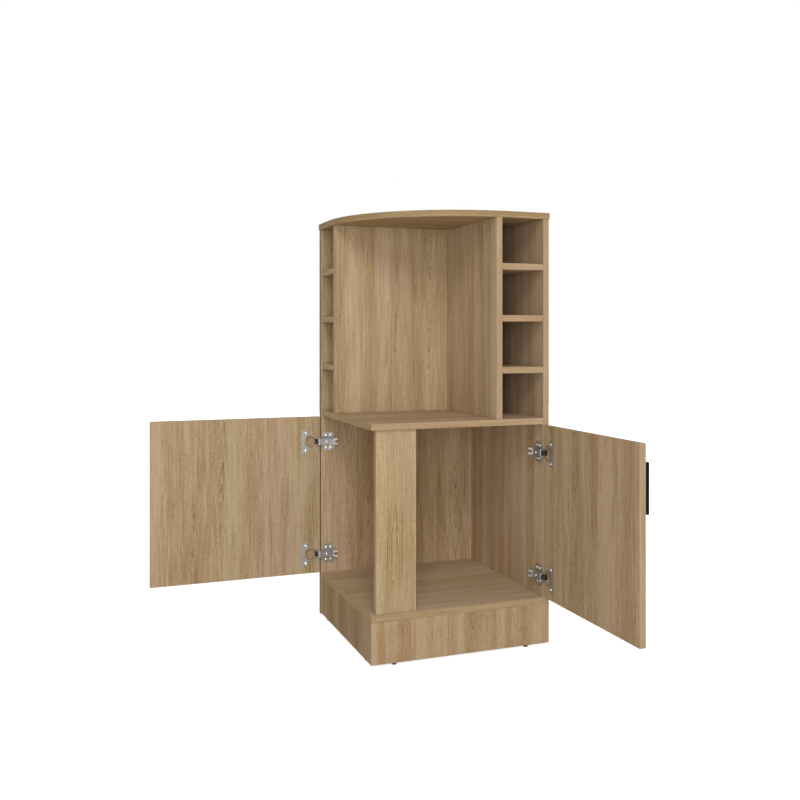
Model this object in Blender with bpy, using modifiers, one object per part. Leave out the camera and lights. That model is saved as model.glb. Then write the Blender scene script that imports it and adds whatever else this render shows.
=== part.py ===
"""Corner bar cabinet: a rounded top and an open niche between two bottle racks, over a cupboard with two doors.

Metres, +Z up, glides on z = 0. In plan the carcass is a square: the two walls meet at the room's corner,
and the two open faces meet at the front corner, where the plan's own origin lies. The right door hangs on
the right wall, the left door on the back wall, and both stand open at a right angle.
"""

import math

import bmesh
import bpy
from mathutils import Matrix, Vector

# Carcass
SIDE = 0.4465           # both sides of the square plan
BOARD = 0.015           # every board's thickness
SEAT = 0.0003           # air left between pieces that touch
EASE = 0.0005           # rounding of the board edges
BACK_PROUD = 0.0035     # back panel's front edge outside the left open face
PLINTH_HEIGHT = 0.0954
CUPBOARD_HEIGHT = 0.4152  # clear, bottom board to middle shelf
CELL_WIDTH = 0.108      # clear size of one bottle cell
CELL_HEIGHT = 0.108
CELLS = 4
TOP_OVERHANG = 0.0015
TOP_RADIUS = 0.342      # rounding of the top's front corner
ARC_STEPS = 40
POST_SETBACK = 0.007    # post's front face behind the front plane
POST_START = 0.0125     # post's free edge from the left face
POST_WIDTH = 0.0965

# Glides
GLIDE_RADIUS = 0.006
GLIDE_HEIGHT = 0.005
GLIDE_CROWN = 0.0012    # rounding of the glide's rim
GLIDE_NEAR = 0.056      # first glide from the front corner
GLIDE_FAR = 0.044       # last glide from the wall at the other end

# Doors
DOOR_RIGHT_WIDTH = 0.409
DOOR_LEFT_WIDTH = 0.4306
DOOR_THICKNESS = 0.015
DOOR_UNDER_SHELF = 0.0026  # gap between a door's top and the shelf's underside
DOOR_OVER_FLOOR = 0.0005  # gap between a door's lower end and the bottom board's upper face
HINGE_FROM_TOP = 0.0653
HINGE_FROM_BOTTOM = 0.0502

# Handle, a flat bar on two legs
HANDLE_PITCH = 0.096    # leg to leg
HANDLE_LEG = 0.012
HANDLE_BAR = 0.008      # bar's thickness
HANDLE_WIDTH = 0.010
HANDLE_REACH = 0.0308   # outer face from the door
HANDLE_INSET = 0.034    # from the door's free edge
HANDLE_FROM_TOP = 0.044
HANDLE_EASE = 0.0008

# Hinge: places in the plan of one hinge, x into the opening from the wall, y into the cupboard from its edge
REVEAL = 0.002          # wall edge left showing beside the closed door
CLOSED_GAP = 0.0028     # closed door in front of the wall's edge
OPEN_PROUD = 0.0        # open door's inner face outside the wall's inner face
OPEN_GAP = 0.0038       # open door's end in front of the wall's edge
PIVOT_FROM_END = 0.0091  # door pin from the door's end
PIVOT_DEPTH = 0.0025    # door pin below the door's inner face
POLE_TO_ARM = 0.0165    # pole of the door's quarter turn to the arm pin
CUP_RADIUS = 0.0175     # bore in the door
CUP_TAB = 0.0065        # bore's edge from the door's end
CUP_BORE_DEPTH = 0.0122
CUP_DEPTH = 0.0115
CUP_FIT = 0.0003        # air round the cup in its bore
CUP_WALL = 0.0008
FLANGE = 0.0009         # flange's thickness
FLANGE_RADIUS = 0.0193
FLANGE_LENGTH = 0.062
FLANGE_NEAR = 0.0313    # flange bar, near and far edge from the door's end
FLANGE_FAR = 0.049
FLANGE_CORNER = 0.004
MOUTH_RADIUS = 0.0159   # D-shaped mouth of the cup
MOUTH_FAR = 0.038       # straight side of the mouth from the door's end
NOTCH_NEAR = 0.0075     # notch for the link in the flange
NOTCH_END = 0.014
NOTCH_HALF = 0.0067
NOTCH_DEPTH = 0.0046
DOOR_PIN_RADIUS = 0.00075
DOOR_PIN_HALF = 0.0075
ARM_PIN_RADIUS = 0.0012
ARM_PIN_HALF = 0.0088
PIN_FIT = 0.0001        # air round a pin in its eye
LINK_HALF_WIDTH = 0.0064
LINK_THICKNESS = 0.002
LINK_EYE_ARM = 0.0021
LINK_EYE_DOOR = 0.00135
LINK_HANDLE_ARM = (0.01098, 0.00335)  # pull of the link's curve at its arm end, along and across
LINK_HANDLE_DOOR = (0.00961, 0.00622)  # and at its door end
LINK_STEPS = 14
ARM_HALF_WIDTH = 0.00825
ARM_SHEET = 0.0015
ARM_WEB = 0.0012
ARM_NOSE = 0.0036       # rounding round the arm pin
ARM_FOOT = 0.003        # lower edge of the arm's sides above the wall
ARM_STEP = (0.002, 0.006)   # where the sides widen towards the wall
ARM_SLOPE = 0.031       # where the arm starts to rise to its free end
ARM_END = 0.0405
ARM_END_RISE = 0.007
FORK_DEPTH = 0.0075      # open slot between the arm's two prongs
FORK_HALF_WIDTH = 0.0036
SLOT_HALF_WIDTH = 0.0028
SLOT_CORNER = 0.0024
SLOT = (0.021, 0.030)   # slot in the arm's web
PLATE_THICKNESS = 0.0022
PLATE_BAND = (0.003, 0.040)  # middle band, front and back
PLATE_BAND_HALF = 0.0088
PLATE_WING = (0.0053, 0.035)
PLATE_WING_HALF = 0.0245
PLATE_WING_CORNER = 0.007
PLATE_HOLES = (0.0135, 0.0262)
PLATE_HOLE_SPACING = 0.032
PLATE_HOLE_RADIUS = 0.0024
RAIL = (0.007, 0.034)
RAIL_HALF_WIDTH = 0.0062

ROUND = 32              # sides of a large circle
SMALL_ROUND = 16        # sides of a pin

# Levels
Z_BASE = GLIDE_HEIGHT
Z_FLOOR = Z_BASE + PLINTH_HEIGHT + BOARD
Z_SHELF = Z_FLOOR + CUPBOARD_HEIGHT
Z_RACK = Z_SHELF + BOARD
CELL_PITCH = CELL_HEIGHT + BOARD
Z_CEILING = Z_RACK + CELLS * CELL_PITCH - BOARD
Z_TOP = Z_CEILING + BOARD

# Plan
WALL = SIDE - BOARD
INNER = WALL - SEAT
NICHE = WALL - CELL_WIDTH - BOARD

# Doors, from the hinges to their free ends
DOOR_FACE = WALL + OPEN_PROUD
DOOR_BACK = DOOR_FACE + DOOR_THICKNESS
DOOR_TOP = Z_SHELF - DOOR_UNDER_SHELF
DOOR_BOTTOM = Z_FLOOR + DOOR_OVER_FLOOR
HINGE_LEVELS = {"upper": DOOR_TOP - HINGE_FROM_TOP, "lower": DOOR_BOTTOM + HINGE_FROM_BOTTOM}
CUP_CENTRE = CUP_TAB + CUP_RADIUS
HANDLE_LENGTH = HANDLE_PITCH + HANDLE_LEG
HANDLE_MIDDLE = DOOR_TOP - HANDLE_FROM_TOP - HANDLE_LENGTH / 2

# The middle of the whole outline with the doors open is the part's origin
REACH = DOOR_BACK + HANDLE_REACH
MIDDLE_X = (REACH - BACK_PROUD - OPEN_GAP - DOOR_LEFT_WIDTH) / 2
MIDDLE_Y = (REACH - OPEN_GAP - DOOR_RIGHT_WIDTH) / 2

# Hinge linkage: the door's quarter turn has one pole, and the arm pin lies at equal distances
# from the door pin's open and closed places
PIN_OPEN = Vector((-OPEN_PROUD - PIVOT_DEPTH, -OPEN_GAP - PIVOT_FROM_END))
PIN_CLOSED = Vector((REVEAL - BOARD + PIVOT_FROM_END, -CLOSED_GAP - PIVOT_DEPTH))
POLE = Vector((
    (REVEAL - BOARD - OPEN_PROUD + CLOSED_GAP - OPEN_GAP) / 2,
    (REVEAL - BOARD + OPEN_PROUD - CLOSED_GAP - OPEN_GAP) / 2,
))
POLE_ANGLE = math.atan2(PIN_OPEN.y - POLE.y, PIN_OPEN.x - POLE.x) + math.pi / 4
ARM_PIN = POLE + POLE_TO_ARM * Vector((math.cos(POLE_ANGLE), math.sin(POLE_ANGLE)))
LINK_LENGTH = (PIN_OPEN - ARM_PIN).length
LINK_ANGLE = math.atan2(PIN_OPEN.y - ARM_PIN.y, PIN_OPEN.x - ARM_PIN.x)
ARM_TOP = ARM_PIN.x + ARM_NOSE
WEB_UNDER = ARM_TOP - ARM_WEB
RAIL_TOP = WEB_UNDER - SEAT

# How a flat outline (p, q) with thickness r lies: face on to the door or wall, or seen from above
FACE_ON = Matrix(((0, 0, 1, 0), (1, 0, 0, 0), (0, 1, 0, 0), (0, 0, 0, 1)))
FROM_ABOVE = Matrix.Identity(4)
# A round piece's axis along x or along z
ALONG_X = Matrix.Rotation(math.pi / 2, 4, "Y")
ALONG_Z = Matrix.Identity(4)
# How each side's hinges and doors stand in the cabinet
TURN_LEFT = Matrix.Rotation(-math.pi / 2, 4, "Z")
TURN_RIGHT = Matrix.Rotation(math.pi, 4, "Y")


def clear_scene():
    for old in list(bpy.data.objects):
        bpy.data.objects.remove(old, do_unlink=True)


def new_collection(name):
    group = bpy.data.collections.new(name)
    bpy.context.scene.collection.children.link(group)
    return group


def new_material(name, colour, roughness, metallic):
    finish = bpy.data.materials.new(name)
    finish.use_nodes = True
    shader = finish.node_tree.nodes["Principled BSDF"]
    shader.inputs["Base Color"].default_value = (*colour, 1.0)
    shader.inputs["Roughness"].default_value = roughness
    shader.inputs["Metallic"].default_value = metallic
    finish.diffuse_color = (*colour, 1.0)
    return finish


clear_scene()
CABINET = new_collection("corner_bar_cabinet")
CUTTERS = new_collection("cutters")
OAK = new_material("oak_laminate", (0.42, 0.30, 0.19), 0.55, 0.0)
STEEL = new_material("nickel_plated_steel", (0.62, 0.61, 0.60), 0.28, 1.0)
BLACK = new_material("black_metal", (0.012, 0.012, 0.013), 0.40, 0.6)
BROWN = new_material("brown_plastic", (0.10, 0.035, 0.018), 0.50, 0.0)


def place(x, y, z):
    """A point of the plan, measured from the front corner, in the part's own frame."""
    return Vector((x - MIDDLE_X, y - MIDDLE_Y, z))


def new_object(name, data, group, finish=None):
    item = bpy.data.objects.new(name, data)
    group.objects.link(item)
    if finish:
        item.data.materials.append(finish)
    return item


def mesh_from(builder, name):
    mesh = bpy.data.meshes.new(name)
    work = bmesh.new()
    builder(work)
    work.to_mesh(mesh)
    work.free()
    return mesh


def box_mesh(name, low, high):
    low = Vector(low)
    high = Vector(high)

    def build(work):
        bmesh.ops.create_cube(work, size=1.0)
        bmesh.ops.scale(work, vec=high - low, verts=work.verts)
        bmesh.ops.translate(work, vec=(low + high) / 2, verts=work.verts)

    return mesh_from(build, name)


def rod_mesh(name, radius, low, high, centre, turn, sides):
    """A round rod from low to high along its axis, which turn lays along z or x, through centre."""

    def build(work):
        bmesh.ops.create_cone(work, cap_ends=True, segments=sides, radius1=radius, radius2=radius,
                              depth=high - low)
        bmesh.ops.translate(work, vec=(0, 0, (low + high) / 2), verts=work.verts)
        bmesh.ops.transform(work, matrix=Matrix.Translation(centre) @ turn, verts=work.verts)

    return mesh_from(build, name)


def evaluated_mesh(item):
    """The object's shape with its modifiers applied; the object itself goes."""
    bpy.context.view_layer.update()
    graph = bpy.context.evaluated_depsgraph_get()
    mesh = bpy.data.meshes.new_from_object(item.evaluated_get(graph))
    bpy.data.objects.remove(item, do_unlink=True)
    return mesh


def flat_mesh(name, points, low, high, turn):
    """A flat closed outline, filled and thick from low to high across it, laid by turn."""
    outline = bpy.data.curves.new(name, "CURVE")
    outline.dimensions = "2D"
    outline.fill_mode = "BOTH"
    outline.extrude = (high - low) / 2
    line = outline.splines.new("POLY")
    line.points.add(len(points) - 1)
    for knot, (p, q) in zip(line.points, points):
        knot.co = (p, q, 0, 1)
    line.use_cyclic_u = True
    mesh = evaluated_mesh(new_object(name, outline, CUTTERS))
    work = bmesh.new()
    work.from_mesh(mesh)
    bmesh.ops.remove_doubles(work, verts=work.verts, dist=SEAT / 100)
    bmesh.ops.translate(work, vec=(0, 0, (low + high) / 2), verts=work.verts)
    bmesh.ops.transform(work, matrix=turn, verts=work.verts)
    bmesh.ops.recalc_face_normals(work, faces=work.faces)
    work.to_mesh(mesh)
    work.free()
    return mesh


def boolean(item, cutter, operation):
    """Cut the object by the cutter, or join the cutter to it."""
    cutter.hide_render = True
    cutter.display_type = "WIRE"
    step = item.modifiers.new(operation.lower(), "BOOLEAN")
    step.operation = operation
    step.object = cutter
    step.solver = "EXACT"


def combined(name, base, joined=(), cut=()):
    """One mesh: the base with the joined shapes added and then the cut shapes taken out."""
    item = new_object(name, base, CUTTERS)
    tools = []
    for mesh, operation in [(m, "UNION") for m in joined] + [(m, "DIFFERENCE") for m in cut]:
        tool = new_object(name + "_tool", mesh, CUTTERS)
        boolean(item, tool, operation)
        tools.append(tool)
    mesh = evaluated_mesh(item)
    for tool in tools:
        bpy.data.objects.remove(tool, do_unlink=True)
    return mesh


def smooth(mesh):
    mesh.shade_smooth()
    mesh.set_sharp_from_angle(angle=math.radians(35))


def ease_edges(item, width):
    bevel = item.modifiers.new("eased_edges", "BEVEL")
    bevel.width = width
    bevel.segments = 2
    bevel.limit_method = "ANGLE"


def arc(centre, radius, start, end, steps):
    """Points on an arc from start to end, in degrees."""
    points = []
    for i in range(steps + 1):
        angle = math.radians(start + (end - start) * i / steps)
        points.append((centre[0] + radius * math.cos(angle), centre[1] + radius * math.sin(angle)))
    return points


def rounded_rectangle(p_low, p_high, q_low, q_high, radius, steps=6):
    left, right = p_low + radius, p_high - radius
    lower, upper = q_low + radius, q_high - radius
    return (arc((right, upper), radius, 0, 90, steps) + arc((left, upper), radius, 90, 180, steps)
            + arc((left, lower), radius, 180, 270, steps) + arc((right, lower), radius, 270, 360, steps))


# Carcass boards

def board(name, low, high):
    """A board between two corners of the plan, standing where it belongs."""
    middle = (Vector(low) + Vector(high)) / 2
    half = (Vector(high) - Vector(low)) / 2
    item = new_object(name, box_mesh(name, -half, half), CABINET, OAK)
    item.location = place(*middle)
    ease_edges(item, EASE)
    return item


def make_carcass():
    z_wall = Z_CEILING - SEAT
    board("right_panel", (WALL, 0, Z_BASE), (SIDE, SIDE, z_wall))
    board("back_panel", (-BACK_PROUD, WALL, Z_BASE), (INNER, SIDE, z_wall))
    z_plinth = Z_FLOOR - BOARD - SEAT
    board("plinth_front", (0, 0, Z_BASE), (INNER, BOARD, z_plinth))
    board("plinth_left", (0, BOARD + SEAT, Z_BASE), (BOARD, INNER, z_plinth))
    board("bottom_board", (0, 0, Z_FLOOR - BOARD), (INNER, INNER, Z_FLOOR))
    board("middle_shelf", (0, 0, Z_SHELF), (INNER, INNER, Z_RACK))
    board("corner_post", (POST_START, POST_SETBACK, Z_FLOOR + SEAT),
          (POST_START + POST_WIDTH, POST_SETBACK + BOARD, Z_SHELF - SEAT))
    board("divider_right", (NICHE, 0, Z_RACK + SEAT), (NICHE + BOARD, INNER, z_wall))
    board("divider_left", (0, NICHE, Z_RACK + SEAT), (NICHE - SEAT, NICHE + BOARD, z_wall))
    cell_side = NICHE + BOARD + SEAT
    for level in range(1, CELLS):
        z = Z_RACK + level * CELL_PITCH - BOARD
        board(f"rack_shelf_right_{level}", (cell_side, 0, z), (INNER, INNER, z + BOARD))
        board(f"rack_shelf_left_{level}", (0, cell_side, z), (NICHE - SEAT, INNER, z + BOARD))


def make_top():
    """Square board with its front corner rounded by an arc that runs into both front edges."""
    left, front = -BACK_PROUD - TOP_OVERHANG, -TOP_OVERHANG
    high = SIDE + TOP_OVERHANG
    points = [(high, front), (high, high), (left, high)]
    points += arc((left + TOP_RADIUS, front + TOP_RADIUS), TOP_RADIUS, 180, 270, ARC_STEPS)
    points = [(x - SIDE / 2, y - SIDE / 2) for x, y in points]
    mesh = flat_mesh("top_panel", points, -BOARD / 2, BOARD / 2, FROM_ABOVE)
    item = new_object("top_panel", mesh, CABINET, OAK)
    item.location = place(SIDE / 2, SIDE / 2, Z_CEILING + BOARD / 2)
    ease_edges(item, EASE)


def make_glides():
    """Turned glides under the middle of each board that stands on the floor, two to a side."""
    depth = GLIDE_HEIGHT - SEAT
    profile = [(0, 0), (GLIDE_RADIUS, 0), (GLIDE_RADIUS, GLIDE_CROWN - depth)]
    profile += [(GLIDE_RADIUS - GLIDE_CROWN, -depth), (0, -depth)]
    near, far = GLIDE_NEAR, WALL - GLIDE_FAR
    line = BOARD / 2
    spots = {
        "glide_front": ((near, line), (far, line)),
        "glide_left": ((line, near), (line, far)),
        "glide_right": ((SIDE - line, near), (SIDE - line, far)),
        "glide_back": ((near, SIDE - line), (far, SIDE - line)),
    }
    for name, pair in spots.items():
        for number, (x, y) in enumerate(pair, 1):
            item = new_object(f"{name}_{number}", turned_mesh(name, profile, SMALL_ROUND), CABINET, BROWN)
            item.location = place(x, y, Z_BASE - SEAT)


def turned_mesh(name, profile, sides):
    """A turned solid about z. The profile runs down the outer side and ends on the axis."""
    mesh = bpy.data.meshes.new(name)
    mesh.from_pydata([(r, 0, z) for r, z in profile], [(i, i + 1) for i in range(len(profile) - 1)], [])
    item = new_object(name + "_profile", mesh, CUTTERS)
    screw = item.modifiers.new("turn", "SCREW")
    screw.steps = sides
    screw.render_steps = sides
    screw.use_merge_vertices = True
    screw.merge_threshold = SEAT / 100
    turned = evaluated_mesh(item)
    smooth(turned)
    return turned


# Hinges, in the plan of one hinge: x from the wall's inner face, y from its front edge, z from its middle

def along_door(distance):
    """The y of a point that far from the door's end, measured from the cup's middle."""
    return CUP_CENTRE - distance


def make_cup_mesh():
    """Cup with its flange, D-shaped mouth, notch for the link and the pin that the link turns on.

    Origin at the cup's middle on the door's inner face, x out of the door.
    """
    outer = CUP_RADIUS - CUP_FIT
    inner = outer - CUP_WALL
    rim = SEAT + FLANGE / 2
    profile = [(0, CUP_WALL - CUP_DEPTH), (inner, CUP_WALL - CUP_DEPTH), (inner, rim)]
    profile += [(outer, rim), (outer, -CUP_DEPTH), (0, -CUP_DEPTH)]
    shell = turned_mesh("cup_shell", profile, ROUND)
    shell.transform(ALONG_X)

    bar = rounded_rectangle(along_door(FLANGE_FAR), along_door(FLANGE_NEAR), -FLANGE_LENGTH / 2,
                            FLANGE_LENGTH / 2, FLANGE_CORNER, 3)
    ring = rod_mesh("flange_ring", FLANGE_RADIUS, SEAT, SEAT + FLANGE, (0, 0, 0), ALONG_X, ROUND)
    flange = combined("flange", ring, joined=[flat_mesh("flange_bar", bar, SEAT, SEAT + FLANGE, FACE_ON)])

    straight = math.degrees(math.acos(along_door(MOUTH_FAR) / MOUTH_RADIUS))
    mouth = arc((0, 0), MOUTH_RADIUS, -straight, straight, ROUND)
    mouth_cut = flat_mesh("mouth", mouth, -SEAT, SEAT + 2 * FLANGE, FACE_ON)
    flange = combined("flange", flange, cut=[mouth_cut])

    through = box_mesh("notch", (-NOTCH_DEPTH, along_door(NOTCH_END), -NOTCH_HALF),
                       (SEAT + 2 * FLANGE, along_door(NOTCH_NEAR), NOTCH_HALF))
    under = box_mesh("notch_under", (-NOTCH_DEPTH, along_door(NOTCH_END), -NOTCH_HALF),
                     (SEAT / 2, CUP_RADIUS, NOTCH_HALF))
    body = combined("cup", shell, joined=[flange], cut=[through, under])
    pin = rod_mesh("door_pin", DOOR_PIN_RADIUS, -DOOR_PIN_HALF, DOOR_PIN_HALF,
                   (-PIVOT_DEPTH, along_door(PIVOT_FROM_END), 0), ALONG_Z, SMALL_ROUND)
    return combined("hinge_cup", body, joined=[pin])


def link_centreline():
    """Cubic curve from the arm pin to the door pin, bowed so that it hooks over the cup's rim."""
    ends = ((0, 0), LINK_HANDLE_ARM, LINK_HANDLE_DOOR, (LINK_LENGTH, 0))
    points = []
    for i in range(LINK_STEPS + 1):
        u = i / LINK_STEPS
        weights = ((1 - u) ** 3, 3 * u * (1 - u) ** 2, 3 * u ** 2 * (1 - u), u ** 3)
        points.append(Vector([sum(w * end[k] for w, end in zip(weights, ends)) for k in range(2)]))
    return points


def make_link_mesh():
    """Bowed strap with an eye at each end, its origin on the arm pin."""
    middle = link_centreline()
    near, far = [], []
    for i, point in enumerate(middle):
        along = (middle[min(i + 1, LINK_STEPS)] - middle[max(i - 1, 0)]).normalized()
        across = Vector((-along.y, along.x)) * LINK_THICKNESS / 2
        near.append(tuple(point - across))
        far.append(tuple(point + across))
    half = LINK_HALF_WIDTH
    end = (LINK_LENGTH, 0, 0)
    strap = flat_mesh("link_strap", near + far[::-1], -half, half, FROM_ABOVE)
    eyes = [rod_mesh("arm_eye", LINK_EYE_ARM, -half, half, (0, 0, 0), ALONG_Z, SMALL_ROUND),
            rod_mesh("door_eye", LINK_EYE_DOOR, -half, half, end, ALONG_Z, SMALL_ROUND)]
    bores = [rod_mesh("arm_bore", ARM_PIN_RADIUS + PIN_FIT, -2 * half, 2 * half, (0, 0, 0), ALONG_Z,
                      SMALL_ROUND),
             rod_mesh("door_bore", DOOR_PIN_RADIUS + PIN_FIT, -2 * half, 2 * half, end, ALONG_Z,
                      SMALL_ROUND)]
    mesh = combined("hinge_link", strap, joined=eyes, cut=bores)
    mesh.transform(Matrix.Rotation(LINK_ANGLE, 4, "Z"))
    return mesh


def make_arm_mesh():
    """Pressed channel over the rail: two sides joined by a web, rounded nose with its pin, forked end."""
    x, y = ARM_PIN
    outline = arc((x, y), ARM_NOSE, 0, -180, SMALL_ROUND)
    outline += [(x - ARM_NOSE, ARM_STEP[0]), (ARM_FOOT, ARM_STEP[1]), (ARM_FOOT, ARM_SLOPE)]
    outline += [(ARM_FOOT + ARM_END_RISE, ARM_END), (ARM_TOP + ARM_END_RISE, ARM_END), (ARM_TOP, ARM_SLOPE)]
    solid = flat_mesh("arm_solid", outline, -ARM_HALF_WIDTH, ARM_HALF_WIDTH, FROM_ABOVE)
    inside = ARM_HALF_WIDTH - ARM_SHEET
    rise = ARM_END_RISE * (ARM_END + ARM_NOSE - ARM_SLOPE) / (ARM_END - ARM_SLOPE)
    hollow = [(-ARM_FOOT, y - 2 * ARM_NOSE), (-ARM_FOOT, ARM_END + ARM_NOSE)]
    hollow += [(WEB_UNDER + rise, ARM_END + ARM_NOSE), (WEB_UNDER, ARM_SLOPE), (WEB_UNDER, y - 2 * ARM_NOSE)]
    channel = flat_mesh("arm_channel", hollow, -inside, inside, FROM_ABOVE)
    slot = rounded_rectangle(SLOT[0], SLOT[1], -SLOT_HALF_WIDTH, SLOT_HALF_WIDTH, SLOT_CORNER)
    slot_cut = flat_mesh("arm_slot", slot, WEB_UNDER - ARM_WEB, ARM_TOP + ARM_WEB, FACE_ON)
    fork = rounded_rectangle(ARM_END - FORK_DEPTH, ARM_END + FORK_DEPTH, -FORK_HALF_WIDTH, FORK_HALF_WIDTH,
                             FORK_HALF_WIDTH / 2)
    fork_cut = flat_mesh("arm_fork", fork, WEB_UNDER - ARM_WEB, ARM_TOP + 2 * ARM_END_RISE, FACE_ON)
    body = combined("arm_body", solid, cut=[channel, slot_cut, fork_cut])
    pin = rod_mesh("arm_pin", ARM_PIN_RADIUS, -ARM_PIN_HALF, ARM_PIN_HALF, (x, y, 0), ALONG_Z, SMALL_ROUND)
    return combined("hinge_arm", body, joined=[pin])


def make_plate_mesh():
    """Mounting plate: a band with two winged ears, four screw holes and the rail that carries the arm."""
    top = SEAT + PLATE_THICKNESS
    wings = rounded_rectangle(PLATE_WING[0], PLATE_WING[1], -PLATE_WING_HALF, PLATE_WING_HALF,
                              PLATE_WING_CORNER)
    base = flat_mesh("plate_wings", wings, SEAT, top, FACE_ON)
    band = box_mesh("plate_band", (SEAT, PLATE_BAND[0], -PLATE_BAND_HALF), (top, PLATE_BAND[1], PLATE_BAND_HALF))
    rail = box_mesh("plate_rail", (SEAT, RAIL[0], -RAIL_HALF_WIDTH), (RAIL_TOP, RAIL[1], RAIL_HALF_WIDTH))
    holes = []
    for y in PLATE_HOLES:
        for side in (-1, 1):
            centre = (0, y, side * PLATE_HOLE_SPACING / 2)
            holes.append(rod_mesh("plate_hole", PLATE_HOLE_RADIUS, -top, 2 * top, centre, ALONG_X, SMALL_ROUND))
    return combined("hinge_plate", base, joined=[band, rail], cut=holes)


# Doors and their hinges

def axis_empty(name, location, parent=None):
    """An empty on a joint's axis, which carries what turns about it."""
    empty = bpy.data.objects.new(name, None)
    empty.empty_display_size = BOARD
    CABINET.objects.link(empty)
    empty["stands_at"] = location
    empty.location = location
    if parent:
        empty.parent = parent
        empty.location = location - Vector(parent["stands_at"])
    return empty


def hang(item, parent, location, turn):
    """Stand an object at a place in the part's frame, carried by an empty on its joint's axis."""
    item.parent = parent
    item.location = location - Vector(parent["stands_at"])
    item.rotation_euler = turn.to_euler()


def hinge_corner(side, z):
    """Where the wall's inner face meets its front edge, at one hinge's level."""
    return place(-BACK_PROUD, WALL, z) if side == "left" else place(WALL, 0, z)


def in_cabinet(side, turn, x, y, z):
    """A point of one hinge's plan, at height z, in the part's frame."""
    return hinge_corner(side, z) + turn.to_3x3() @ Vector((x, y, 0))


def make_door(side, turn, width, parent):
    """Door slab with its two cup bores, seen from the hinge: inner face at x, end towards the wall at y."""
    half = (DOOR_TOP - DOOR_BOTTOM) / 2
    mesh = box_mesh(f"door_{side}", (-DOOR_THICKNESS, -width, -half), (0, 0, half))
    door = new_object(f"door_{side}", mesh, CABINET, OAK)
    middle = (DOOR_TOP + DOOR_BOTTOM) / 2
    hang(door, parent, in_cabinet(side, turn, -OPEN_PROUD, -OPEN_GAP, middle), turn)
    ease_edges(door, EASE)
    for level, z in HINGE_LEVELS.items():
        bore = new_object(f"bore_{side}_{level}", rod_mesh("bore", CUP_RADIUS, -CUP_BORE_DEPTH, CUP_BORE_DEPTH,
                          (0, 0, 0), ALONG_X, 2 * ROUND), CUTTERS)
        hang(bore, parent, in_cabinet(side, turn, -OPEN_PROUD, -OPEN_GAP - CUP_CENTRE, z), turn)
        boolean(door, bore, "DIFFERENCE")


def make_handle(side, turn, width, parent):
    """Flat bar on two legs, one bent piece, upright near the door's free edge."""
    half = HANDLE_LENGTH / 2
    gap = half - HANDLE_LEG
    outline = [(-SEAT, -half), (-HANDLE_REACH, -half), (-HANDLE_REACH, half), (-SEAT, half)]
    outline += [(-SEAT, gap), (HANDLE_BAR - HANDLE_REACH, gap)]
    outline += [(HANDLE_BAR - HANDLE_REACH, -gap), (-SEAT, -gap)]
    # The outline's second way runs up the door, its thickness along the door
    upright = Matrix(((1, 0, 0, 0), (0, 0, -1, 0), (0, 1, 0, 0), (0, 0, 0, 1)))
    mesh = flat_mesh(f"handle_{side}", outline, -HANDLE_WIDTH / 2, HANDLE_WIDTH / 2, upright)
    handle = new_object(f"handle_{side}", mesh, CABINET, BLACK)
    along = OPEN_GAP + width - HANDLE_INSET - HANDLE_WIDTH / 2
    spot = in_cabinet(side, turn, -OPEN_PROUD - DOOR_THICKNESS, -along, HANDLE_MIDDLE)
    hang(handle, parent, spot, turn)
    ease_edges(handle, HANDLE_EASE)


def make_doors():
    meshes = {"cup": make_cup_mesh(), "link": make_link_mesh(), "arm": make_arm_mesh(),
              "plate": make_plate_mesh()}
    for mesh in meshes.values():
        mesh.materials.clear()
        mesh.materials.append(STEEL)
        smooth(mesh)
    middle = (DOOR_TOP + DOOR_BOTTOM) / 2
    for side, turn, width in (("left", TURN_LEFT, DOOR_LEFT_WIDTH), ("right", TURN_RIGHT, DOOR_RIGHT_WIDTH)):
        link_axis = axis_empty(f"{side}_link_axis", in_cabinet(side, turn, *ARM_PIN, middle))
        door_axis = axis_empty(f"{side}_door_axis", in_cabinet(side, turn, *PIN_OPEN, middle), link_axis)
        make_door(side, turn, width, door_axis)
        make_handle(side, turn, width, door_axis)
        for level, z in HINGE_LEVELS.items():
            corner = hinge_corner(side, z)
            pieces = {
                "cup": (door_axis, in_cabinet(side, turn, -OPEN_PROUD, -OPEN_GAP - CUP_CENTRE, z)),
                "link": (link_axis, in_cabinet(side, turn, *ARM_PIN, z)),
            }
            for kind, (parent, spot) in pieces.items():
                item = new_object(f"hinge_{kind}_{side}_{level}", meshes[kind], CABINET)
                hang(item, parent, spot, turn)
            for kind in ("arm", "plate"):
                item = new_object(f"hinge_{kind}_{side}_{level}", meshes[kind], CABINET)
                item.location = corner
                item.rotation_euler = turn.to_euler()


make_carcass()
make_top()
make_glides()
make_doors()
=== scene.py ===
"""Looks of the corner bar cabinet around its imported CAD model.

Metres, +Z up. The two closed walls face +X and +Y, the open faces -X and -Y, and the doors stand open.
"""

import math

import bpy
import numpy as np
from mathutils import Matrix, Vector


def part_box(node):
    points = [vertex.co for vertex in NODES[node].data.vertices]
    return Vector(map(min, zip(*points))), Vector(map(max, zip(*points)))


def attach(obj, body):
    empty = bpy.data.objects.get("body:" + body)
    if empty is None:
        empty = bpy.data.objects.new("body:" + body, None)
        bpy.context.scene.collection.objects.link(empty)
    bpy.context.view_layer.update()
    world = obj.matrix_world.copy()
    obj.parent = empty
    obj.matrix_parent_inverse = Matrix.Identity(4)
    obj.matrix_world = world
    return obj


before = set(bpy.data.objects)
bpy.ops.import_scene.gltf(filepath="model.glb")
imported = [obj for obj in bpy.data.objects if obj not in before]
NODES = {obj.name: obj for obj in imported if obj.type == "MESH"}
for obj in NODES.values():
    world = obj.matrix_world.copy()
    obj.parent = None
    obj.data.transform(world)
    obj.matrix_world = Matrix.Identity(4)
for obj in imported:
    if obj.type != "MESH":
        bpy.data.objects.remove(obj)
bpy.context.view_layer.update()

# Photograph's camera, from the cabinet's front corner on the plinth's underside
PHOTO_SIZE = 800.0
FOCAL_PIXELS = 965.69
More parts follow.
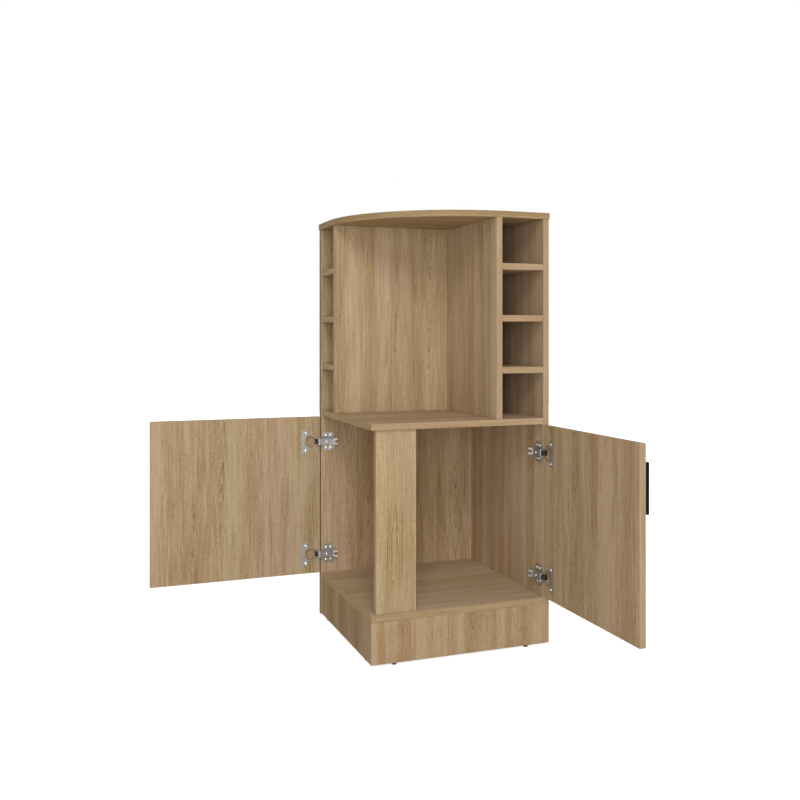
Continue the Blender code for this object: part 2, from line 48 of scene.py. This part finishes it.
CENTRE_PIXEL = (443.02, 332.78)
CAMERA_FROM_CORNER = (-0.65144, -2.06284, 0.74476)
CAMERA_HEADING = 68.230     # degrees from +X towards +Y
SENSOR = 36.0

# Studio
FLOOR_SIZE = 14.0
FLOOR_GLOW = 0.78       # floor's own white for the camera near the cabinet, 1 farther off
FLOOR_COLOUR = (0.80, 0.80, 0.80)
FLOOR_NEAR = 0.6
FLOOR_FAR = 2.0
AMBIENT = 0.20          # world light from all round
AMBIENT_COLOUR = (1.0, 0.94, 0.85)
SKY = {                 # more world light, strongest from these directions
    "front": ((0.0, -1.0, 0.0), 0.15),
    "above": ((0.0, 0.0, 1.0), 0.10),
    "behind": ((0.0, 1.0, 0.0), 0.35),
    "right": ((1.0, 0.0, 0.0), 0.35),
}
LAMP_AIM = (0.2, 0.2, 0.5)
LAMPS = {               # place, size and power
    "low_key": ((-1.2, -3.6, 0.9), 1.5, 47.0),
    "high_key": ((-0.9, -3.1, 3.0), 1.5, 57.0),
}

# Oak laminate, as linear colours
OAK_PALE = (0.518, 0.386, 0.252)
OAK_MIDDLE = (0.421, 0.295, 0.174)
OAK_DARK = (0.282, 0.181, 0.083)
PLANK_WIDTH = 0.105     # width of one figured strip of the print
RING_SPACING = 0.0040   # grain lines at the side of a strip
POINT_PITCH = 0.022     # closest nested points along the heart of a strip
HEART_BLUNT = 0.005     # roundness of those points
RING_DEPTH = 1.45       # how dark the growth rings are
MEAN_TONE = 0.35        # place of a plain stretch between pale and dark
RICHNESS = 0.6          # gain of saturation where the print is darkened, so painted shade reads as a richer brown
SLOW_WANDER = 0.050     # how far the grain strays sideways, slowly and quickly
QUICK_WANDER = 0.005
HEART_STRAY = 0.05      # how far a heart may lie from the middle of its strip
TONE_SHARE = 0.50       # weight of each part of the figure
STREAK_SHARE = 0.60
LINE_SHARE = 1.32
FLECK_SHARE = 0.60
PORE_SHARE = 0.30
PORE_MEAN = 0.10
HUE_LEAN = 0.012        # turn of hue between planks, and within one
HUE_MIDDLE = 0.502

# Noise scales across, along and through the grain, per metre
SLOW_SCALE = (7.0, 1.5, 7.0)
QUICK_SCALE = (55.0, 9.0, 55.0)
TONE_SCALE = (24.0, 1.0, 24.0)
STREAK_SCALE = (150.0, 4.0, 150.0)
LINE_SCALE = (430.0, 11.0, 430.0)
PORE_SCALE = (780.0, 70.0, 780.0)
FLECK_SCALE = (190.0, 260.0, 190.0)

# How light each board's print is, as (faces, edge bands), and how strong its figure is. The lightness is partly each
# board's own tone and partly painted light and shade: the bottom board is painted lighter, and the top panel, the
# left plinth and the back panel's edge bands are painted darker, as shade.
EVEN_SHADE = (1.0, 1.02)
BOARD_TONE_AND_PAINTED_LIGHT = {
    "bottom_board": (1.16, 0.99), "top_panel": (0.88, 0.80), "plinth_left": (0.87, 0.90),
    "plinth_front": (0.94, 0.97), "back_panel": (1.0, 0.62), "divider_left": (1.03, 0.96),
    "corner_post": (1.03, 1.0), "right_panel": (1.05, 1.03), "middle_shelf": (1.04, 1.01),
    "divider_right": (1.06, 1.03), "door_left": (1.0, 0.96), "door_right": (1.0, 0.94),
}
BAND_CONTRAST = 0.7
BOARD_CONTRAST = {
    "door_left": 1.2, "door_right": 1.2, "plinth_front": 1.15, "plinth_left": 1.15, "back_panel": 1.2,
    "right_panel": 0.95, "bottom_board": 0.6, "middle_shelf": 0.7, "top_panel": 0.8, "corner_post": 0.9,
}

# Boards by the axis their grain runs along and the axis across their thickness
BOARD_GRAIN = {
    "back_panel": ("z", "y"), "right_panel": ("z", "x"), "divider_left": ("z", "y"),
    "divider_right": ("z", "x"), "corner_post": ("z", "y"), "plinth_front": ("z", "y"),
    "plinth_left": ("z", "x"), "bottom_board": ("x", "z"), "middle_shelf": ("x", "z"),
    "top_panel": ("x", "z"), "door_left": ("z", "y"), "door_right": ("z", "x"),
}
for side, axis in (("left", "x"), ("right", "y")):
    for level in (1, 2, 3):
        BOARD_GRAIN[f"rack_shelf_{side}_{level}"] = (axis, "z")

SIDES = ("left", "right")
LEVELS = ("upper", "lower")

PLATING = 0.65          # metallic share of the satin plating
ROLLING_SCALE = (300.0, 300.0, 5200.0)
ROLLING_BUMP = (0.10, 0.0002)   # strength and distance
CLOUD_SCALE = 160.0
CLOUD_EDGES = (0.35, 0.75)

# Hinge screws, in the plan of one hinge: x off the face that they sit on, y into the cupboard
SEAT = 0.0003           # air under a plate
HEAD_HEIGHT = 0.0015
HEAD_CROWN = 0.55       # share of the height that the rim has lost
HEAD_RINGS = 22
HEAD_SPOKES = 64
RECESS_ARM = 0.00042    # half the width of the cross recess
RECESS_SHOULDER = 0.0003
RECESS_REACH = 0.62     # share of the head's radius
RECESS_DEPTH = 0.0008
FIRST_TURN = 0.5        # how the crosses stand, in radians
NEXT_TURN = 1.1
FLANGE_SCREW = 0.0033   # head radius
FLANGE_SCREW_PITCH = 0.046
FLANGE_SCREW_IN = 0.0319    # from the flange's rounded end
PLATE_SCREW = 0.0034
PLATE_FACE = 0.0025     # plate's face from the wall
PLATE_START = 0.003     # plate's front end from the wall's edge
PLATE_SCREWS = ((0.0135, 0.016), (0.0262, 0.016), (0.0135, -0.016), (0.0262, -0.016))
ARM_SCREW = 0.0027
ARM_FACE = 0.01283
ARM_SCREWS = ((0.0129, 0.0),)
CUP_REFLECTION_DEPTH = 0.0006       # depth below the door's face where the cup's inside turns to a painted brown reflection of the wood


class Wiring:
    """Short ways to add shader nodes to one tree."""

    def __init__(self, tree):
        self.tree = tree
        self.nodes = tree.nodes

    def node(self, kind, **settings):
        made = self.nodes.new(kind)
        for key, value in settings.items():
            setattr(made, key, value)
        return made

    def join(self, source, target):
        self.tree.links.new(source, target)

    def feed(self, socket, value):
        """Link a socket, or set it where the value is a plain number or tuple."""
        if isinstance(value, bpy.types.NodeSocket):
            self.join(value, socket)
        else:
            socket.default_value = value

    def math(self, operation, a, b=0.0, c=0.0, clamp=False):
        made = self.node("ShaderNodeMath", operation=operation, use_clamp=clamp)
        for socket, value in zip(made.inputs, (a, b, c)):
            self.feed(socket, value)
        return made.outputs[0]

    def vector(self, x, y, z):
        made = self.node("ShaderNodeCombineXYZ")
        for socket, value in zip(made.inputs, (x, y, z)):
            self.feed(socket, value)
        return made.outputs[0]

    def split(self, vector):
        made = self.node("ShaderNodeSeparateXYZ")
        self.join(vector, made.inputs[0])
        return made.outputs

    def vector_math(self, operation, a, b):
        made = self.node("ShaderNodeVectorMath", operation=operation)
        self.feed(made.inputs[0], a)
        self.feed(made.inputs[1], b)
        return made.outputs[0]

    def noise(self, vector, scale, detail=2.0, roughness=0.5):
        made = self.node("ShaderNodeTexNoise")
        self.feed(made.inputs["Vector"], vector)
        made.inputs["Scale"].default_value = scale
        made.inputs["Detail"].default_value = detail
        made.inputs["Roughness"].default_value = roughness
        return made.outputs[0]

    def remap(self, value, low, high, to_low=0.0, to_high=1.0):
        """Smooth step from one value to another between two edges."""
        made = self.node("ShaderNodeMapRange", interpolation_type="SMOOTHSTEP")
        for socket, number in zip(made.inputs, (value, low, high, to_low, to_high)):
            self.feed(socket, number)
        return made.outputs[0]

    def mix(self, factor, a, b, kind="RGBA"):
        made = self.node("ShaderNodeMix", data_type=kind)
        self.feed(made.inputs[0], factor)
        pair = {"RGBA": (6, 7), "VECTOR": (4, 5), "FLOAT": (2, 3)}[kind]
        for index, value in zip(pair, (a, b)):
            self.feed(made.inputs[index], value)
        return made.outputs[{"RGBA": 2, "VECTOR": 1, "FLOAT": 0}[kind]]

    def bump(self, height, strength, distance):
        made = self.node("ShaderNodeBump")
        made.inputs["Strength"].default_value = strength
        made.inputs["Distance"].default_value = distance
        self.join(height, made.inputs["Height"])
        return made.outputs[0]


def new_material(name):
    material = bpy.data.materials.new(name)
    material.use_nodes = True
    return material, Wiring(material.node_tree), material.node_tree.nodes["Principled BSDF"]


# Oak laminate

def make_figure_group():
    """Wood figure from a place (across, along, through): colour, height for bump and gloss change.

    The print is a row of flat-cut planks. The growth rings run in nested points along the heart of each and
    in nearly straight lines at its sides.
    """
    tree = bpy.data.node_groups.new("oak_figure", "ShaderNodeTree")
    tree.interface.new_socket("Place", in_out="INPUT", socket_type="NodeSocketVector")
    tree.interface.new_socket("Seed", in_out="INPUT", socket_type="NodeSocketFloat")
    tree.interface.new_socket("Shade", in_out="INPUT", socket_type="NodeSocketFloat")
    tree.interface.new_socket("Contrast", in_out="INPUT", socket_type="NodeSocketFloat")
    tree.interface.new_socket("Color", in_out="OUTPUT", socket_type="NodeSocketColor")
    tree.interface.new_socket("Height", in_out="OUTPUT", socket_type="NodeSocketFloat")
    tree.interface.new_socket("Gloss", in_out="OUTPUT", socket_type="NodeSocketFloat")
    w = Wiring(tree)
    start = w.node("NodeGroupInput")
    end = w.node("NodeGroupOutput")
    place, seed, shade, contrast = start.outputs[:4]
    across, along, through = w.split(place)

    # Slow wander of the grain, from a seeded place stretched along the grain
    seeded = w.vector_math("ADD", place, w.vector(seed, w.math("MULTIPLY", seed, 1.7), w.math("MULTIPLY", seed, 0.6)))
    slow = w.noise(w.vector_math("MULTIPLY", seeded, SLOW_SCALE), 1.0, 2.0)
    quick = w.noise(w.vector_math("MULTIPLY", seeded, QUICK_SCALE), 1.0, 2.0)
    wander = w.math("ADD", w.math("MULTIPLY_ADD", slow, SLOW_WANDER, -SLOW_WANDER / 2),
                    w.math("MULTIPLY_ADD", quick, QUICK_WANDER, -QUICK_WANDER / 2))
    moved = w.math("ADD", across, wander)

    # Plank strips, each with a heart where the rings are cut in nested points
    strip = w.math("ADD", w.math("DIVIDE", moved, PLANK_WIDTH), seed)
    number = w.math("FLOOR", strip)
    local = w.math("MULTIPLY", w.math("SUBTRACT", w.math("FRACT", strip), 0.5), PLANK_WIDTH)
    chance = w.node("ShaderNodeTexWhiteNoise", noise_dimensions="2D")
    w.join(w.vector(number, seed, 0.0), chance.inputs["Vector"])
    random = w.split(chance.outputs["Color"])
    side = w.math("ADD", local, w.math("MULTIPLY_ADD", random[0], HEART_STRAY, -HEART_STRAY / 2))
    blunt = w.math("SQRT", w.math("MULTIPLY_ADD", side, side, HEART_BLUNT ** 2))
    rise = w.math("MULTIPLY", along, w.math("MULTIPLY_ADD", random[1], 1.7 / POINT_PITCH, -1.0 / POINT_PITCH))
    ragged_place = w.vector(w.math("MULTIPLY", side, 160.0), w.math("MULTIPLY", along, 30.0), number)
    ragged = w.noise(ragged_place, 1.0, 3.0, 0.6)
    sway = w.noise(w.vector(number, w.math("MULTIPLY", along, 5.0), w.math("MULTIPLY", through, 9.0)), 1.0, 1.0)
    turns = w.math("ADD", w.math("ADD", rise, w.math("DIVIDE", blunt, RING_SPACING)),
                   w.math("ADD", w.math("MULTIPLY", ragged, 1.1), w.math("MULTIPLY", sway, 2.5)))
    phase = w.math("FRACT", turns)
    late = w.math("MULTIPLY", w.math("POWER", phase, 2.2), w.remap(phase, 1.0, 0.90))
    ring_chance = w.node("ShaderNodeTexWhiteNoise", noise_dimensions="2D")
    w.join(w.vector(w.math("FLOOR", turns), number, 0.0), ring_chance.inputs["Vector"])
    weight = w.math("MULTIPLY_ADD", ring_chance.outputs["Value"], 0.8, 0.2)
    heart = w.remap(w.math("ABSOLUTE", side), 0.040, 0.004, 0.22, 1.0)
    presence = w.remap(w.noise(w.vector(number, w.math("MULTIPLY", along, 3.0), seed), 1.0, 1.0), 0.36, 0.62)
    presence = w.math("MULTIPLY", presence, w.math("MULTIPLY_ADD", random[2], 0.50, 0.50))
    rings = w.math("MULTIPLY", w.math("MULTIPLY", late, weight), w.math("MULTIPLY", heart, presence))

    # Broad tone bands, soft streaks, lines, pores in short dashes and a fleck across the grain
    tone = w.noise(w.vector_math("MULTIPLY", seeded, TONE_SCALE), 1.0, 3.0, 0.55)
    streak = w.noise(w.vector_math("MULTIPLY", seeded, STREAK_SCALE), 1.0, 2.0, 0.6)
    line = w.noise(w.vector_math("MULTIPLY", seeded, LINE_SCALE), 1.0, 2.0, 0.6)
    pore = w.remap(w.noise(w.vector_math("MULTIPLY", seeded, PORE_SCALE), 1.0, 2.0, 0.6), 0.50, 0.70)
    fleck = w.noise(w.vector_math("MULTIPLY", seeded, FLECK_SCALE), 1.0, 2.0, 0.6)

    figure = w.math("MULTIPLY_ADD", w.remap(tone, 0.30, 0.70), TONE_SHARE, -TONE_SHARE / 2)
    for share, value in ((STREAK_SHARE, streak), (LINE_SHARE, line), (FLECK_SHARE, fleck)):
        figure = w.math("MULTIPLY_ADD", w.math("SUBTRACT", value, 0.5), share, figure)
    figure = w.math("MULTIPLY_ADD", rings, RING_DEPTH, figure)
    figure = w.math("ADD", figure, w.math("MULTIPLY_ADD", pore, PORE_SHARE, -PORE_MEAN))
    amount = w.math("MULTIPLY_ADD", figure, contrast, MEAN_TONE, clamp=True)

    ramp = w.node("ShaderNodeValToRGB")
    ramp.color_ramp.interpolation = "EASE"
    stops = ramp.color_ramp.elements
    stops[0].position, stops[0].color = 0.0, (*OAK_PALE, 1.0)
    stops[1].position, stops[1].color = 1.0, (*OAK_DARK, 1.0)
    middle = stops.new(0.45)
    middle.color = (*OAK_MIDDLE, 1.0)
    w.join(amount, ramp.inputs[0])
    # Some planks lean to pink, others to olive. Shade scales the print's lightness, on several boards as painted
    # light and shade, and a darker Shade is a richer brown, as painted shade.
    hue = w.node("ShaderNodeHueSaturation")
    lean = w.math("MULTIPLY_ADD", random[2], HUE_LEAN, w.math("MULTIPLY_ADD", streak, -HUE_LEAN, HUE_MIDDLE))
    w.join(lean, hue.inputs["Hue"])
    rich = w.math("MULTIPLY_ADD", shade, -RICHNESS, 0.90 + RICHNESS)
    w.join(w.math("MULTIPLY_ADD", tone, 0.20, rich), hue.inputs["Saturation"])
    w.join(w.math("MULTIPLY", w.math("MULTIPLY_ADD", slow, 0.10, 0.95), shade), hue.inputs["Value"])
    w.join(ramp.outputs[0], hue.inputs["Color"])

    w.join(hue.outputs[0], end.inputs[0])
    relief = w.math("SUBTRACT", w.math("MULTIPLY", line, 0.5), w.math("ADD", pore, w.math("MULTIPLY", rings, 0.5)))
    w.join(relief, end.inputs[1])
    w.join(w.math("MULTIPLY_ADD", amount, 0.12, 0.50), end.inputs[2])
    return tree


def oak_material(name, grain, thick, seed):
    """Oak laminate for a board whose grain runs along one axis and whose thickness is another.

    The bands on its edges follow the edge's own length, so the faces that end the grain turn the print.
    """
    material, w, shader = new_material(name)
    where = w.node("ShaderNodeTexCoord")
    axis = dict(zip("xyz", w.split(where.outputs["Object"])))
    facing = dict(zip("xyz", w.split(where.outputs["Normal"])))
    other = ({"x", "y", "z"} - {grain, thick}).pop()
    flat = w.vector(axis[other], axis[grain], axis[thick])
    if name == "top_panel":
        # The band runs on round the curved front, where x minus y grows steadily
        round_front = w.math("MULTIPLY", w.math("SUBTRACT", axis["x"], axis["y"]), math.sqrt(0.5))
        turned = w.vector(axis["z"], round_front, 0.0)
        turn = w.math("LESS_THAN", w.math("ABSOLUTE", facing["z"]), 0.5)
    else:
        turned = w.vector(axis[thick], axis[other], axis[grain])
        turn = w.math("GREATER_THAN", w.math("ABSOLUTE", facing[grain]), 0.7)
    edge = w.math("LESS_THAN", w.math("ABSOLUTE", facing[thick]), 0.5)
    banded = w.mix(edge, flat, w.vector(axis[thick], axis[grain], axis[other]), "VECTOR")
    figure = w.node("ShaderNodeGroup")
    figure.node_tree = FIGURE
    w.join(w.mix(turn, banded, turned, "VECTOR"), figure.inputs["Place"])
    figure.inputs["Seed"].default_value = seed
    # Faces and edge bands get their own lightness, on several boards painted light and shade
    faces, bands = BOARD_TONE_AND_PAINTED_LIGHT.get(name, EVEN_SHADE)
    w.join(w.math("MULTIPLY_ADD", edge, bands - faces, faces), figure.inputs["Shade"])
    contrast = BOARD_CONTRAST.get(name, 1.0)
    w.join(w.math("MULTIPLY_ADD", edge, BAND_CONTRAST - contrast, contrast), figure.inputs["Contrast"])
    w.join(figure.outputs["Color"], shader.inputs["Base Color"])
    w.join(figure.outputs["Gloss"], shader.inputs["Roughness"])
    w.join(w.bump(figure.outputs["Height"], 0.22, 0.0004), shader.inputs["Normal"])
    shader.inputs["Specular IOR Level"].default_value = 0.02
    return material


# Metal and plastic

def steel_material(name, colour, roughness, grime):
    """Plated pressed steel: faint rolling lines, and a cloudy gloss with darker patches at random."""
    material, w, shader = new_material(name)
    shader.inputs["Metallic"].default_value = PLATING
    where = w.node("ShaderNodeTexCoord").outputs["Object"]
    lines = w.noise(w.vector_math("MULTIPLY", where, ROLLING_SCALE), 1.0, 2.0)
    cloud = w.noise(where, CLOUD_SCALE, 3.0)
    dark = tuple(part * (1.0 - grime) for part in colour)
    w.join(w.mix(w.remap(cloud, *CLOUD_EDGES), (*colour, 1.0), (*dark, 1.0)), shader.inputs["Base Color"])
    w.join(w.math("MULTIPLY_ADD", cloud, 0.16, roughness - 0.08), shader.inputs["Roughness"])
    w.join(w.bump(lines, *ROLLING_BUMP), shader.inputs["Normal"])
    return material


def powder_coat_material():
    """Satin black powder coat with its fine orange peel."""
    material, w, shader = new_material("black_coat")
    shader.inputs["Specular IOR Level"].default_value = 0.05
    where = w.node("ShaderNodeTexCoord").outputs["Object"]
    peel = w.noise(where, 900.0, 2.0)
    w.join(w.mix(peel, (0.002, 0.002, 0.0025, 1.0), (0.006, 0.006, 0.007, 1.0)), shader.inputs["Base Color"])
    w.join(w.math("MULTIPLY_ADD", w.noise(where, 120.0), 0.14, 0.38), shader.inputs["Roughness"])
    w.join(w.bump(peel, 0.20, 0.0003), shader.inputs["Normal"])
    return material


def moulded_material():
    """Brown moulded plastic of the glides."""
    material, w, shader = new_material("brown_moulding")
    where = w.node("ShaderNodeTexCoord").outputs["Object"]
    grain = w.noise(where, 1400.0, 2.0)
    colour = w.mix(w.noise(where, 90.0), (0.050, 0.022, 0.014, 1.0), (0.080, 0.036, 0.022, 1.0))
    w.join(colour, shader.inputs["Base Color"])
    w.join(w.math("MULTIPLY_ADD", grain, 0.12, 0.42), shader.inputs["Roughness"])
    w.join(w.bump(grain, 0.15, 0.0002), shader.inputs["Normal"])
    return material


def cup_material(side):
    """Plated flange on the outside and a painted reflection of the wood, brown and not metallic, inside the cup, told
    apart by depth.
    """
    material, w, shader = new_material(f"cup_{side}")
    place = w.node("ShaderNodeTexCoord").outputs["Object"]
    low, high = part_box(f"door_{side}")
    axis, face = (1, low[1]) if side == "left" else (0, low[0])
    inside = w.math("GREATER_THAN", w.split(place)[axis], face + CUP_REFLECTION_DEPTH)
    cloud = w.noise(place, CLOUD_SCALE, 3.0)
    plated = w.mix(w.remap(cloud, *CLOUD_EDGES), (0.45, 0.44, 0.43, 1.0), (0.33, 0.32, 0.31, 1.0))
    painted_wood_reflection = w.mix(w.noise(w.vector_math("MULTIPLY", place, (90.0, 90.0, 12.0)), 1.0, 2.0),
                  (0.46, 0.31, 0.18, 1.0), (0.36, 0.24, 0.13, 1.0))
    # Inside the cup the plated steel gives way to painted reflection: brown, not metallic and rougher
    w.join(w.mix(inside, plated, painted_wood_reflection), shader.inputs["Base Color"])
    w.join(w.math("MULTIPLY_ADD", inside, -PLATING, PLATING), shader.inputs["Metallic"])
    plated_gloss = w.math("MULTIPLY_ADD", cloud, 0.14, 0.30)
    w.join(w.math("MULTIPLY_ADD", inside, 0.20, plated_gloss), shader.inputs["Roughness"])
    lines = w.noise(w.vector_math("MULTIPLY", place, ROLLING_SCALE), 1.0, 2.0)
    w.join(w.bump(lines, *ROLLING_BUMP), shader.inputs["Normal"])
    return material


# Screws

def screw_head(radius):
    """Points and faces of a crowned head with a coined cross recess, seated on z = 0.

    The head is a polar grid of rings and spokes. Its height falls with the square of the radius from the crown
    to the rim. The recess takes its depth off wherever the smaller of |x| and |y| is within the cross's arm and
    the larger one is within its reach, each with a soft shoulder. The last ring drops the rim to the seat.
    """
    reach = np.append(np.linspace(1.0 / HEAD_RINGS, 1.0, HEAD_RINGS), 1.0) * radius
    turn = np.arange(HEAD_SPOKES) * (math.tau / HEAD_SPOKES)
    x, y = (part.ravel() for part in (np.outer(reach, np.cos(turn)), np.outer(reach, np.sin(turn))))
    height = HEAD_HEIGHT * (1.0 - HEAD_CROWN * (x * x + y * y) / radius ** 2)
    near, far = np.minimum(abs(x), abs(y)), np.maximum(abs(x), abs(y))
    arm = np.clip((RECESS_ARM - near) / RECESS_SHOULDER + 0.5, 0.0, 1.0)
    end = np.clip((radius * RECESS_REACH - far) / RECESS_SHOULDER + 0.5, 0.0, 1.0)
    height -= RECESS_DEPTH * arm * end
    height[-HEAD_SPOKES:] = 0.0
    points = np.column_stack((x, y, height))
    points = np.vstack((points, ((0, 0, HEAD_HEIGHT - RECESS_DEPTH), (0, 0, 0))))

    # Quads between one ring and the next, then a fan to the crown and one to the middle of the seat
    ring, spoke = np.divmod(np.arange(HEAD_RINGS * HEAD_SPOKES), HEAD_SPOKES)
    inner, ahead = ring * HEAD_SPOKES, (spoke + 1) % HEAD_SPOKES
    quads = np.column_stack((inner + spoke, inner + HEAD_SPOKES + spoke, inner + HEAD_SPOKES + ahead, inner + ahead))
    spoke = np.arange(HEAD_SPOKES)
    ahead = (spoke + 1) % HEAD_SPOKES
    rim = HEAD_RINGS * HEAD_SPOKES
    crown = np.column_stack((np.full(HEAD_SPOKES, len(points) - 2), spoke, ahead))
    seat = np.column_stack((np.full(HEAD_SPOKES, len(points) - 1), rim + ahead, rim + spoke))
    return points, quads, np.vstack((crown, seat))


def place_screws(name, head, spots, out, body):
    """One piece of equal screw heads: each head's points turned about its own axis, laid against out and moved
    to its spot."""
    points, quads, fans = head
    angle = FIRST_TURN + NEXT_TURN * np.arange(len(spots))
    spin = np.zeros((len(spots), 3, 3))
    spin[:, 0, 0] = spin[:, 1, 1] = np.cos(angle)
    spin[:, 1, 0], spin[:, 0, 1] = np.sin(angle), -np.sin(angle)
    spin[:, 2, 2] = 1.0
    lay = np.array(Vector(out).to_track_quat("Z", "Y").to_matrix())
    placed = np.einsum("ij,sjk,pk->spi", lay, spin, points) + np.array(spots)[:, None, :]
    step = (len(points) * np.arange(len(spots)))[:, None, None]
    faces = [corners.tolist() for kind in (quads, fans) for corners in (kind[None] + step).reshape(-1, kind.shape[1])]
    mesh = bpy.data.meshes.new(name)
    mesh.from_pydata(placed.reshape(-1, 3), [], faces)
    mesh.shade_smooth()
    mesh.set_sharp_from_angle(angle=math.radians(50))
    mesh.materials.append(SCREW_STEEL)
    piece = bpy.data.objects.new(name, mesh)
    bpy.context.scene.collection.objects.link(piece)
    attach(piece, body)


def make_hinge_screws():
    """Screws of every hinge: four in the plate's wings, one in the arm and two in the cup's flange."""
    flange_head = screw_head(FLANGE_SCREW)
    plate_head = screw_head(PLATE_SCREW)
    arm_head = screw_head(ARM_SCREW)
    for side in SIDES:
        # Out of the wall into the opening, and from the wall's edge into the cupboard
        out, inward = ((0, -1, 0), (1, 0, 0)) if side == "left" else ((-1, 0, 0), (0, 1, 0))
        out, inward = Vector(out), Vector(inward)
        for level in LEVELS:
            low, high = (Vector(corner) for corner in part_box(f"hinge_plate_{side}_{level}"))
            wall = high.y + SEAT if side == "left" else high.x + SEAT
            edge = low.dot(inward) - PLATE_START
            middle = (low.z + high.z) / 2
            corner = Vector((edge, wall, middle)) if side == "left" else Vector((wall, edge, middle))
            for kind, head, face, spots in (("plate", plate_head, PLATE_FACE, PLATE_SCREWS),
                                            ("arm", arm_head, ARM_FACE, ARM_SCREWS)):
                points = [corner + out * face + inward * y + Vector((0, 0, z)) for y, z in spots]
                place_screws(f"screws_{kind}_{side}_{level}", head, points, out, "carcass")
            low, high = (Vector(corner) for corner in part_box(f"hinge_cup_{side}_{level}"))
            along = high.dot(inward) - FLANGE_SCREW_IN
            face = low.y if side == "left" else low.x
            points = [Vector((along, face, middle + z)) if side == "left" else Vector((face, along, middle + z))
                      for z in (-FLANGE_SCREW_PITCH / 2, FLANGE_SCREW_PITCH / 2)]
            place_screws(f"screws_cup_{side}_{level}", flange_head, points, out, f"{side}_door")


def dress(node, material):
    """Give a carried-over CAD node its finish."""
    data = NODES[node].data
    data.materials.clear()
    data.materials.append(material)


def dress_cad_nodes():
    for number, (board, (grain, thick)) in enumerate(sorted(BOARD_GRAIN.items())):
        dress(board, oak_material(board, grain, thick, 1.37 * number + 0.21))
    for side in SIDES:
        dress(f"handle_{side}", BLACK)
        for level in LEVELS:
            dress(f"hinge_cup_{side}_{level}", CUPS[side])
            dress(f"hinge_plate_{side}_{level}", STEEL)
            dress(f"hinge_arm_{side}_{level}", STEEL)
            dress(f"hinge_link_{side}_{level}", DARK_STEEL)
    for place in ("front", "left", "right", "back"):
        for number in (1, 2):
            dress(f"glide_{place}_{number}", BROWN)


# Studio

def make_camera():
    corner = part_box("plinth_front")[0]
    data = bpy.data.cameras.new("camera")
    data.sensor_width = SENSOR
    data.lens = FOCAL_PIXELS * SENSOR / PHOTO_SIZE
    data.shift_x = (PHOTO_SIZE / 2 - CENTRE_PIXEL[0]) / PHOTO_SIZE
    data.shift_y = (CENTRE_PIXEL[1] - PHOTO_SIZE / 2) / PHOTO_SIZE
    data.clip_end = 50.0
    camera = bpy.data.objects.new("camera", data)
    camera.location = Vector(corner) + Vector(CAMERA_FROM_CORNER)
    camera.rotation_euler = (math.radians(90), 0, math.radians(CAMERA_HEADING - 90))
    bpy.context.scene.collection.objects.link(camera)
    bpy.context.scene.camera = camera


def make_lamp(name, place, size, power):
    data = bpy.data.lights.new(name, "AREA")
    data.shape = "SQUARE"
    data.size = size
    data.energy = power
    lamp = bpy.data.objects.new(name, data)
    lamp.location = place
    aim = Vector(LAMP_AIM) - Vector(place)
    lamp.rotation_euler = aim.to_track_quat("-Z", "Y").to_euler()
    bpy.context.scene.collection.objects.link(lamp)


def seen_directly(w):
    """1 for rays that come from the camera or off metal and through glass, 0 for light on surfaces."""
    ray = w.node("ShaderNodeLightPath")
    seen = w.math("MAXIMUM", ray.outputs["Is Camera Ray"], ray.outputs["Is Glossy Ray"])
    return w.math("MAXIMUM", seen, ray.outputs["Is Transmission Ray"])


def make_world():
    world = bpy.data.worlds.new("studio")
    bpy.context.scene.world = world
    world.use_nodes = True
    w = Wiring(world.node_tree)
    back = world.node_tree.nodes["Background"]
    w.join(w.mix(seen_directly(w), (*AMBIENT_COLOUR, 1.0), (1.0, 1.0, 1.0, 1.0)), back.inputs["Color"])
    way = w.node("ShaderNodeTexCoord").outputs["Generated"]
    light = AMBIENT
    for direction, strength in SKY.values():
        lean = w.node("ShaderNodeVectorMath", operation="DOT_PRODUCT")
        w.join(way, lean.inputs[0])
        lean.inputs[1].default_value = direction
        light = w.math("MULTIPLY_ADD", w.math("MAXIMUM", lean.outputs["Value"], 0.0), strength, light)
    w.join(w.mix(seen_directly(w), light, 1.0, "FLOAT"), back.inputs["Strength"])


def make_floor():
    """Pale floor: white where nothing shades it, with the cabinet's soft shadow kept."""
    mesh = bpy.data.meshes.new("floor")
    half = FLOOR_SIZE / 2
    mesh.from_pydata([(-half, -half, 0), (half, -half, 0), (half, half, 0), (-half, half, 0)], [], [(0, 1, 2, 3)])
    floor = bpy.data.objects.new("floor", mesh)
    bpy.context.scene.collection.objects.link(floor)
    material, w, shader = new_material("pale_floor")
    shader.inputs["Roughness"].default_value = 0.9
    shader.inputs["Base Color"].default_value = (*FLOOR_COLOUR, 1.0)
    shader.inputs["Specular IOR Level"].default_value = 0.0
    shader.inputs["Emission Color"].default_value = (1.0, 1.0, 1.0, 1.0)
    reach = w.node("ShaderNodeVectorMath", operation="LENGTH")
    w.join(w.node("ShaderNodeTexCoord").outputs["Object"], reach.inputs[0])
    glow = w.remap(reach.outputs["Value"], FLOOR_NEAR, FLOOR_FAR, FLOOR_GLOW, 1.0)
    w.join(w.math("MULTIPLY", seen_directly(w), glow), shader.inputs["Emission Strength"])
    mesh.materials.append(material)


def make_studio():
    scene = bpy.context.scene
    scene.view_settings.view_transform = "Standard"
    make_world()
    make_floor()
    for name, (place, size, power) in LAMPS.items():
        make_lamp(name, place, size, power)


FIGURE = make_figure_group()
STEEL = steel_material("bright_nickel", (0.45, 0.44, 0.43), 0.30, 0.35)
DARK_STEEL = steel_material("dark_link_steel", (0.020, 0.020, 0.022), 0.32, 0.30)
BLACK = powder_coat_material()
BROWN = moulded_material()
SCREW_STEEL = steel_material("bright_screw", (0.80, 0.79, 0.78), 0.22, 0.10)
CUPS = {side: cup_material(side) for side in SIDES}
dress_cad_nodes()
make_hinge_screws()
make_studio()
make_camera()
